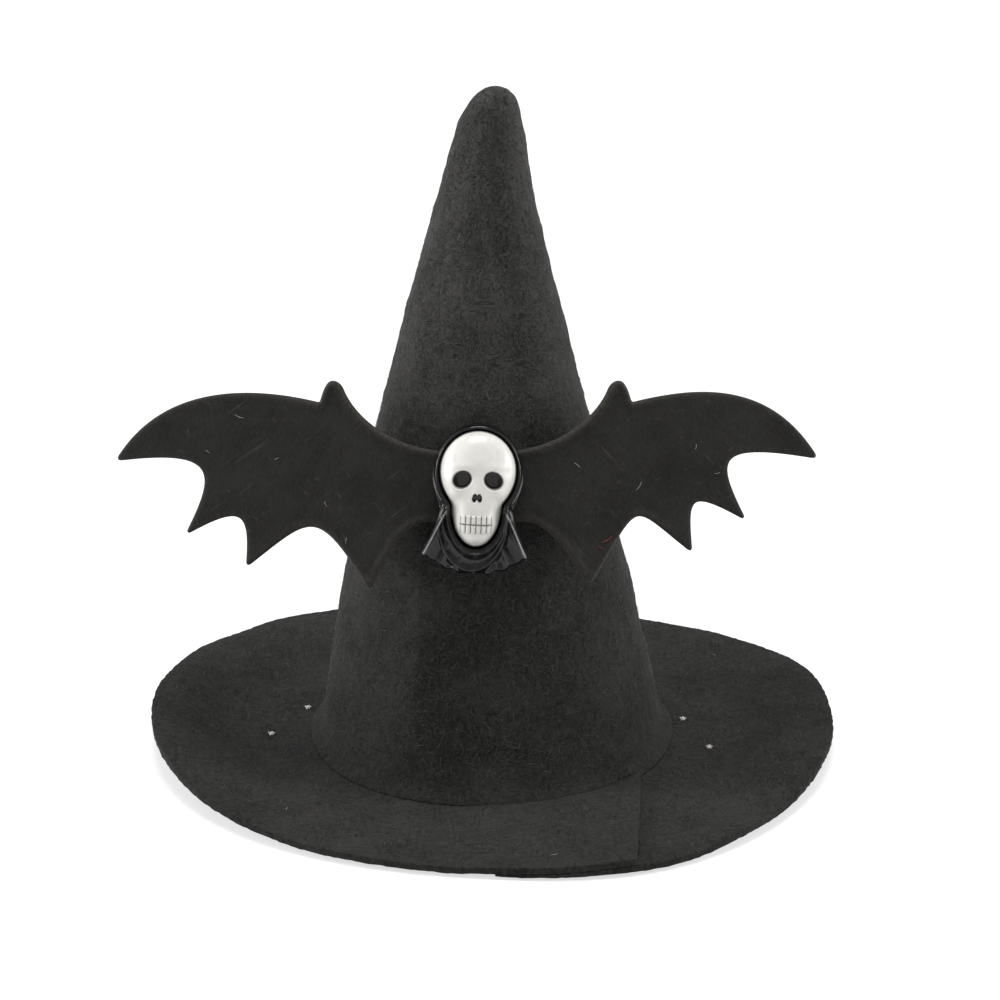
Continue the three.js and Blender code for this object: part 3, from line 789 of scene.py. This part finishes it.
def wing_sheet(side, flat, up_share, gap):
    """A point of the sheet from its place in the flat cut: bent back with the wing, half the thickness to
    the front or back, rounded within 0.6 mm of the edge, with the pressed rim on the front."""
    reach, v = flat.T
    x, n, lean = wing_bend(reach)
    round_off = np.sqrt(1 - (1 - np.clip(gap / 0.6, 0, 1)) ** 2)
    spot = np.stack([flat[:, 0] * side, flat[:, 1], 0 * v], -1)
    inner_half = 1 - smoothstep(reach, 30, 38)
    rim = 0.3 * np.exp(-(((gap - 0.75) / 0.42) ** 2)) * inner_half * smoothstep(reach, 6, 12)
    valley = -0.14 * np.exp(-(((gap - 1.75) / 0.5) ** 2)) * inner_half
    nap = 0.02 * ripple(spot, 2.4, 31, 30) + 0.012 * ripple(spot, 1.2, 32, 30)
    half = up_share * (wing_half * round_off + nap * round_off)
    half = half + np.where(up_share > 0, rim + valley, 0)
    u = x + half * np.sin(lean)
    return on_front(side * u, v, n + wing_wave(spot, reach) + half * np.cos(lean))


wing_felt, tree, surface, own = surface_of(
    "smooth wing felt", Roughness=0.78, Sheen_Weight=0.05, Sheen_Roughness=0.5,
    Sheen_Tint=(0.75, 0.72, 0.68, 1))
surface.inputs["Specular IOR Level"].default_value = 0.2
nap = pattern(tree, "FBM", stretched(tree, own, (1, 1, 0.45), (10, 0, 15)), 2600, 3, 0.6, 1.0)
cloud = pattern(tree, "FBM", own, 110, 3, 0.55, 0.6)
rub = pattern(tree, "RIDGED_MULTIFRACTAL", stretched(tree, own, (0.35, 1, 1), (0, 35, 0)), 160, 2, 0.5, 0.7)
value = blended(tree, 0.45, nap, cloud)
plain_tone = tones(tree, value, [(0.38, (0.0062, 0.006, 0.0052)), (0.62, (0.0165, 0.0161, 0.0142))])
for slope in (38, -50):  # fine scratches, sloping two ways
    sloped = stretched(tree, stretched(tree, own, (1, 1, 1), (0, slope, 0)), (0.06, 1, 1))
    scratches = tones(
        tree, pattern(tree, "FBM", sloped, 1600, 2, 0.5, 0.3), [(0.67, (0, 0, 0)), (0.74, (0.6, 0.6, 0.6))])
    plain_tone = mixed_colours(tree, scratches, plain_tone, (0.036, 0.035, 0.031, 1))
# Painted highlight: the rounded edges and the pressed rim are painted paler, as the light they catch, by the
# share stored on each wing.
highlight_tone = tones(tree, nap, [(0.35, (0.015, 0.0138, 0.012)), (0.65, (0.044, 0.0405, 0.035))])
highlighted_felt = mixed_colours(tree, share_of(tree, "edge_highlight"), plain_tone, highlight_tone)
tree.links.new(highlighted_felt, surface.inputs["Base Color"])
bumped(tree, blended(tree, 0.12, nap, rub), 0.16 * mm, 0.55, surface)

wing_cuts = {  # the tip and the three points below it, and how far the edge hooks in under the tip
    "left": dict(hook=3, tip=(67.5, 8.2), first=(54.3, -5.3), second=(42.9, -11.1), lobe=(19.7, -15)),
    "right": dict(hook=3.9, tip=(64.1, 8.6), first=(50.4, -2.5), second=(40.3, -8.3), lobe=(21.1, -14.1)),
}
for hand, cut in wing_cuts.items():
    side = -1 if hand == "left" else 1
    edge = wing_outline(**cut)
    centre_x, centre_y = np.meshgrid(np.arange(0.6, 70, 0.66), np.arange(-16, 25, 0.57))
    centre_x = centre_x + 0.33 * (np.arange(centre_x.shape[0])[:, None] % 2)
    field = np.stack([centre_x.ravel(), centre_y.ravel()], -1)
    field = field[inside(edge, field)]
    field = field[distance_to(edge, field) > 1.0]
    rows = [edge, field]
    tangent = np.roll(edge, -1, 0) - np.roll(edge, 1, 0)
    inward = np.stack([tangent[:, 1], -tangent[:, 0]], -1) / np.linalg.norm(tangent, axis=1, keepdims=True)
    for inset in (0.06, 0.2, 0.4, 0.68):
        ring = edge + inward * inset
        rows.append(ring[distance_to(edge, ring) > 0.96 * inset])
    every = np.concatenate(rows)
    found = delaunay_2d_cdt(
        [Vector(p) for p in every.tolist()], [], [list(range(len(edge)))[::-1]], 1, 1e-5)
    flat = np.array([tuple(p) for p in found[0]])
    triangles = np.array(found[2])
    gap = distance_to(edge, flat)
    gap[gap < 1e-4] = 0
    front = wing_sheet(side, flat, np.ones(len(flat)), gap)
    back = wing_sheet(side, flat, -np.ones(len(flat)), gap)
    on_edge = gap == 0
    below = np.arange(len(flat)) + len(flat)
    order = triangles if side > 0 else triangles[:, ::-1]
    below[on_edge] = np.arange(len(flat))[on_edge]
    front[on_edge] = (front[on_edge] + back[on_edge]) / 2
    used, compact = np.unique(np.concatenate([order, below[order][:, ::-1]]), return_inverse=True)
    both_sides = np.concatenate([front, back])
    wing = new_piece(f"wing_felt_{hand}", both_sides[used], compact.reshape(-1, 3), wing_felt)
    # Share of painted highlight: a bell of the distance from the cut edge, fuller on the inner half where the
    # rim stands up.
    highlight_share = np.exp(-((np.concatenate([gap, gap])[used] / 0.75) ** 2))
    highlight_share *= 0.45 + 0.55 * (1 - smoothstep(np.concatenate([flat, flat])[used][:, 0], 24, 40))
    store_share(wing, "edge_highlight", highlight_share)
    end = on_front(np.array(side * (hinge_reach + 3.5)), np.array(0.0), np.array(wing_middle))
    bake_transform(wing)
    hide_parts(f"wing_{hand}", f"wing_root_{hand}")

# ---------------------------------------------------------------------------------------------------------
# Lint. Short strands of pale and red thread that cling to the smooth wings, and a few to the brim. Nothing
# but the nap of the felt holds them.
# ---------------------------------------------------------------------------------------------------------

lint_radius = 0.05 * mm
lint_lift = 0.06  # its middle stands this many millimetres off the wing
lint_spots = {  # reach and height on a wing or place on the brim, heading and length in millimetres, tone
    "wing_left": [(44, 16.6, 20, 1.6, "pale"), (27.8, 0.7, 65, 1.0, "pale"), (37, 9, 150, 0.8, "pale"),
                  (24, -6, 100, 1.1, "pale"), (50, 10, 35, 0.9, "pale")],
    "wing_right": [(18.6, 8.2, 140, 1.2, "pale"), (30.3, 3.9, 55, 1.9, "pale"), (24.2, -6, 30, 2.2, "red"),
                   (23.1, -7.3, 160, 0.9, "red"), (41, 11, 80, 0.9, "pale"), (45, 6, 10, 0.9, "pale")],
    "hat": [(11.2, -61.2, 15, 1.4, "pale"), (-38, -41, 70, 0.9, "pale"), (44, 33, 110, 0.9, "pale")],
}
for body, spots in lint_spots.items():
    for tone, low_tone, high_tone in (("pale", (0.1, 0.097, 0.09), (0.34, 0.33, 0.31)),
                                      ("red", (0.16, 0.02, 0.015), (0.4, 0.05, 0.04))):
        paths = []
        for along_spot, up_spot, heading, length, kind in spots:
            if kind == tone:
                t = np.linspace(-0.5, 0.5, 7) * length
                bend = 0.3 * length * (t / length) ** 2
                c, d = math.cos(math.radians(heading)), math.sin(math.radians(heading))
                a, b = along_spot + t * c - bend * d, up_spot + t * d + bend * c
                if body == "hat":
                    paths.append(brim_surface(a * mm, b * mm) + [0, 0, 0.12 * mm])
                else:
                    side = -1 if body == "wing_left" else 1
                    x, n, lean = wing_bend(a)
                    wave = wing_wave(np.stack([a * side, b, 0 * b], -1), a)
                    out = wing_half + lint_lift
                    x = x + out * np.sin(lean)
                    paths.append(on_front(x * side, b, n + wave + out * np.cos(lean)))
        if not paths:
            continue
        paint, tree, surface, own = surface_of(f"{tone} lint on {body}", Roughness=0.8)
        shade = pattern(tree, "FBM", own, 1800, 2)
        lint_tone = tones(tree, shade, [(0.35, low_tone), (0.65, high_tone)])
        tree.links.new(lint_tone, surface.inputs["Base Color"])
        lint = new_piece(f"lint_{tone}_{body}", *joined(tube(path, lint_radius, 6) for path in paths), paint)
        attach(lint, body)

# ---------------------------------------------------------------------------------------------------------
# Hood and cape. One casting in glossy black resin: a hood with a rolled rim round the face, two folds of
# scarf below the cheeks, a flaring collar flap at each side and a pleated cape. It is glued on the wings.
# ---------------------------------------------------------------------------------------------------------

hood_floor = 3.3


def on_charm(u, v, n):
    """A point of the front for the charm, which is glued on turned 2.5 degrees about its middle, 0.25 mm to
    the right and 0.3 mm low."""
    turn = math.radians(2.5)
    return on_front(u * math.cos(turn) + (v - 3) * math.sin(turn) + 0.25,
                    2.7 - u * math.sin(turn) + (v - 3) * math.cos(turn), n)


def oval(u, v, half_width, half_height, middle):
    """How far outside an oval a point is: the length of (u/a, (v - middle)/b), less one, times the smaller
    half axis. Negative inside."""
    return (np.hypot(u / half_width, (v - middle) / half_height) - 1) * min(half_width, half_height)


def outward_of_face(u, v):
    """How far outside the hood's opening a point is: the lesser of the cranium's and the jaw's oval, with
    the corner between them rounded."""
    top, jaw = oval(u, v, 7.35, 7.9, 7.6), oval(u, v, 4.8, 7.2, 0.5)
    return -np.log(np.exp(-top * 3) + np.exp(-jaw * 3)) / 3


def ray_to_oval(turn, centre, half_width, half_height, middle):
    """Length of a ray from (0, centre) to an oval about (0, middle), from the quadratic for its crossing."""
    across, up = np.sin(turn) / half_width, np.cos(turn) / half_height
    off = (centre - middle) / half_height
    a, b, c = across ** 2 + up ** 2, 2 * up * off, off ** 2 - 1
    square = b * b - 4 * a * c
    return np.where(square > 0, (-b + np.sqrt(np.maximum(square, 0))) / (2 * a), 0)


cape_edge = np.concatenate([
    curve((0, -11.7), (2.8, -11.7), (6.1, -10.4), step=0.1), curve((6.1, -10.4), (9.9, -8), step=0.1),
    curve((9.9, -8), (7.6, -3.5), (6, 1.2), step=0.1), curve((6, 1.2), (3, 2.5), step=0.1)])
hood_centre = 2.0


def hood_reach(turn):
    """Reach of the casting's outline from its centre at a turn from straight up: the hood's oval or the
    cape's edge, whichever is further, blended by the twelfth power."""
    cape_turn = np.arctan2(cape_edge[:, 0], cape_edge[:, 1] - hood_centre)
    order = np.argsort(cape_turn)
    cape_reach = np.hypot(cape_edge[:, 0], cape_edge[:, 1] - hood_centre)
    folded = np.abs((turn + np.pi) % (2 * np.pi) - np.pi)
    cape = np.interp(folded, cape_turn[order], cape_reach[order], left=0)
    cape = cape * (1 + 0.016 * np.cos(folded * 360 / 13) * smoothstep(folded, 2.3, 2.6))
    hood = ray_to_oval(turn, hood_centre, 8.35, 10.1, 6.3)
    return (cape ** 12 + hood ** 12) ** (1 / 12)


def ring_values(values):
    """A number for each point of a skin of rings, whose first and last ring are one point each."""
    return np.concatenate([values[0, :1], values[1:-1].ravel(), values[-1, :1]])


def ridge(distance, middle, width):
    """A rounded ridge: a bell of the distance from its middle line."""
    return np.exp(-(((distance - middle) / width) ** 2))


def hood_height(u, v, from_edge):
    """Height of the casting over its flat back, and how much painted highlight greys its raised edges.
    The hood is a dome with a rolled rim. Below it lie the scarf's folds, which follow the jaw, the pleats
    fanned from the neck, and the flaps at both sides."""
    a = np.abs(u)
    face = outward_of_face(u, v)
    q = np.hypot(u / 8.35, (v - 6.3) / 10.1)
    rim = 0.5 * ridge(face, 0.5, 0.3) - 0.25 * ridge(face, 1.0, 0.22)
    dome = (5.3 * np.sqrt(np.clip(1 - q ** 2, 0, 1)) + rim) * (q < 1)
    fan = np.degrees(np.arctan2(u, 4 - v))
    low = smoothstep(-v, 1.5, 8)
    pleats = 0.42 * np.cos(np.radians(fan * 360 / 13 + 25 * np.sin(v * 0.9))) * low
    cape = 2.1 - 0.35 * low + pleats
    scarf = smoothstep(3.5 - v, 0, 3) * (
        2.3 + 1.15 * ridge(face, 0.6, 0.42) + 0.85 * ridge(face + 0.1 * v + 0.09 * u, 1.6, 0.45)
    ) - 0.5 * np.maximum(face - 1.2, 0)
    shoulder, corner = np.array([5.6, 0.9]), np.array([9.9, -8.2])
    way = (corner - shoulder) / np.linalg.norm(corner - shoulder)
    run = ((a - shoulder[0]) * way[0] + (v - shoulder[1]) * way[1]) / np.linalg.norm(corner - shoulder)
    inset = np.abs(way[1] * (a - shoulder[0]) - way[0] * (v - shoulder[1]))
    width = 0.9 + 2.9 * np.clip(run, 0, 1)
    flap = 2.7 - 1.15 * inset / width + 0.85 * ridge(inset, 0.34, 0.24)
    flap = flap * (1 - smoothstep(inset, width - 0.15, width + 0.1))
    flap = flap * smoothstep(run, -0.15, 0.05)
    body = np.maximum(np.maximum(dome, cape), np.maximum(scarf, flap))
    edge = np.sqrt(1 - (1 - np.clip(from_edge / 0.55, 0, 1)) ** 2)
    socket = smoothstep(face, -0.12, 0.1)
    # Painted highlight: the flaps' outer edges, the rolled rim and the pleat crests are painted grey, as the
    # light they catch.
    hood_highlight = (
        0.85 * ridge(inset, 0.36, 0.2) * smoothstep(run, 0.0, 0.12) * (run < 1)
        + 0.5 * ridge(face, 0.98, 0.13) * (q < 1) * (v > 2)
        + 0.03 * np.clip(pleats * 2.4, 0, 1) * (v < -5)
    )
    return (0.9 + (body - 0.9) * socket) * edge, np.clip(hood_highlight * socket, 0, 1)


black_resin, tree, surface, own = surface_of(
    "glossy black resin", Roughness=0.14, Coat_Weight=0.15, Coat_Roughness=0.06)
surface.inputs["Specular IOR Level"].default_value = 0.3
smear = pattern(tree, "FBM", own, 420, 4, 0.6, 0.5)
black = tones(tree, smear, [(0.3, (0.002, 0.002, 0.0022)), (0.7, (0.007, 0.007, 0.0073))])
# The grey is a painted highlight, mixed into the black by the casting's stored share.
highlight_grey = tones(tree, smear, [(0.3, (0.16, 0.16, 0.16)), (0.7, (0.36, 0.36, 0.355))])
tree.links.new(mixed_colours(tree, share_of(tree, "hood_highlight"), black, highlight_grey), surface.inputs["Base Color"])
tree.links.new(tones(tree, smear, [(0.35, (0.09,) * 3), (0.7, (0.26,) * 3)]), surface.inputs["Roughness"])
bumped(tree, pattern(tree, "FBM", own, 1500, 3, 0.6, 0.3), 0.03 * mm, 0.35, surface)

spokes = np.linspace(0, -2 * np.pi, 380, endpoint=False)
edge_reach = hood_reach(spokes)
inward_steps = np.concatenate([np.linspace(0, 0.05, 9), np.linspace(0.05, 1, 112)[1:]])
share = np.concatenate([[0, 0.5], 1 - inward_steps])[:, None]
casting_u = share * edge_reach * np.sin(spokes)
casting_v = hood_centre + share * edge_reach * np.cos(spokes)
casting_height, casting_highlight = hood_height(casting_u, casting_v, (1 - share) * edge_reach * 0.9)
casting_height[:3] = 0
casting_highlight[:3] = 0
rings = on_charm(casting_u, casting_v, hood_floor + casting_height)
hood = new_piece("charm_hood_casting", *rings_skin(rings), black_resin)
store_share(hood, "hood_highlight", ring_values(casting_highlight))
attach(hood, "hat")
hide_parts("charm_hood")

# ---------------------------------------------------------------------------------------------------------
# Skull. A plain skull cast in white resin and set in the hood, its eyes, nose and the gaps between its
# teeth filled in with black paint.
# ---------------------------------------------------------------------------------------------------------

skull_back = 4.5
skull_centre = 5.0


def skull_reach(turn):
    """Reach of the skull's outline from its centre: the cranium's or the jaw's oval, whichever is further,
    blended by the tenth power."""
    cranium = ray_to_oval(turn, skull_centre, 7.05, 7.6, 7.6)
    jaw = ray_to_oval(turn, skull_centre, 4.5, 6.9, 0.5)
    return (cranium ** 10 + jaw ** 10) ** 0.1


def bell(u, v, middle_u, middle_v, width, height):
    """A round bump of height 1 about a point, mirrored to both sides."""
    return np.exp(-(((np.abs(u) - middle_u) / width) ** 2) - ((v - middle_v) / height) ** 2)


def skull_shape(u, v, share):
    """Height of the skull over its back, and how far each point is painted. A full dome carries brows,
    cheekbones and a chin, and the eyes, nose, cheeks and teeth are sunk into it."""
    dome = 4.35 * (1 - share ** 3.2) ** 0.5
    relief = 0.28 * bell(u, v, 2.9, 8.9, 2.0, 0.8) + 0.4 * bell(u, v, 4.5, 3.6, 1.3, 1.1)
    relief += 0.3 * bell(u, v, 0, 4.6, 0.9, 1.8) + 0.35 * bell(u, v, 0, -4.9, 1.9, 0.9)
    relief -= 0.75 * bell(u, v, 3.9, 0.2, 0.9, 2.0) + 0.3 * bell(u, v, 5.6, 8.0, 1.0, 1.6)
    eye = np.hypot((np.abs(u) - 2.85) / 1.85, (v - 6.35 + 0.12 * (np.abs(u) - 2.85)) / 1.75)
    nose = np.hypot((np.abs(u) - 0.42 - 0.1 * (3.3 - v)) / 0.5, (v - 3.1) / 0.85)
    eye_depth = 2.1 * (1 - smoothstep(eye, 0.72, 1.08))
    nose_depth = 1.1 * (1 - smoothstep(nose, 0.6, 1.1))
    in_teeth = (1 - smoothstep(np.abs(u), 2.75, 3.1)) * (1 - smoothstep(np.abs(v + 1.9), 1.55, 1.75))
    across = (np.abs((u / 0.95 + 0.5) % 1 - 0.5)) * 0.95
    gaps = ridge(across, 0, 0.12) * in_teeth
    bite = ridge(v, -1.9, 0.15) * (1 - smoothstep(np.abs(u), 2.9, 3.3))
    teeth = 0.22 * in_teeth
    height = dome + relief + teeth - eye_depth - nose_depth - 0.38 * np.maximum(gaps, bite)
    paint = np.maximum(1 - smoothstep(eye, 0.82, 1.0), 1 - smoothstep(nose, 0.75, 1.0))
    paint = np.maximum(paint, 0.85 * smoothstep(np.maximum(gaps, bite), 0.45, 0.9))
    return np.clip(height, 0.25, 4.7) * np.sqrt(1 - np.clip(share, 0, 1) ** 40), paint


white_resin, tree, surface, own = surface_of(
    "white resin, black paint", Roughness=0.3, Coat_Weight=0.25, Coat_Roughness=0.15)
tint = pattern(tree, "FBM", own, 300, 3, 0.6, 0.4)
ivory = tones(tree, tint, [(0.3, (0.57, 0.556, 0.52)), (0.7, (0.68, 0.668, 0.632))])
brushed = pattern(tree, "FBM", own, 900, 3)
ink = tones(tree, brushed, [(0.3, (0.006, 0.006, 0.006)), (0.7, (0.02, 0.019, 0.018))])
tree.links.new(mixed_colours(tree, share_of(tree, "painted"), ivory, ink), surface.inputs["Base Color"])
bumped(tree, pattern(tree, "FBM", own, 1300, 3, 0.6, 0.2), 0.02 * mm, 0.3, surface)

spokes = np.linspace(0, -2 * np.pi, 330, endpoint=False)
edge_reach = skull_reach(spokes)
share = np.concatenate([[0, 0.5, 1], 1 - np.linspace(0, 0.08, 8)[1:], np.linspace(0.92, 0, 95)[1:]])[:, None]
skull_u = share * edge_reach * np.sin(spokes)
skull_v = skull_centre + share * edge_reach * np.cos(spokes)
skull_height, skull_paint = skull_shape(skull_u, skull_v, share * np.ones_like(skull_u))
skull_height[:3] = 0
skull_paint[:3] = 0
rings = on_charm(skull_u, skull_v, skull_back + skull_height)
skull = new_piece("charm_skull_casting", *rings_skin(rings), white_resin)
store_share(skull, "painted", ring_values(skull_paint))
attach(skull, "hat")
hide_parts("charm_skull")

# ---------------------------------------------------------------------------------------------------------
# Hot glue. A bead joins the foot and the brim, a pad holds the wing roots on the crown, and another holds
# the charm on the wings: cloudy, slightly yellow, with a wavy squeezed-out surface.
# ---------------------------------------------------------------------------------------------------------

glue, tree, surface, own = surface_of("set hot glue", Roughness=0.35, Coat_Weight=0.3, Coat_Roughness=0.2)
cloudy = pattern(tree, "FBM", own, 350, 4, 0.6, 0.8)
tree.links.new(
    tones(tree, cloudy, [(0.3, (0.5, 0.46, 0.38)), (0.7, (0.74, 0.7, 0.61))]), surface.inputs["Base Color"])
bumped(tree, cloudy, 0.2 * mm, 0.5, surface)
for node in ("crown_foot_glue", "wing_glue_pad", "charm_glue_pad"):
    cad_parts[node].data.materials.clear()
    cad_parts[node].data.materials.append(glue)
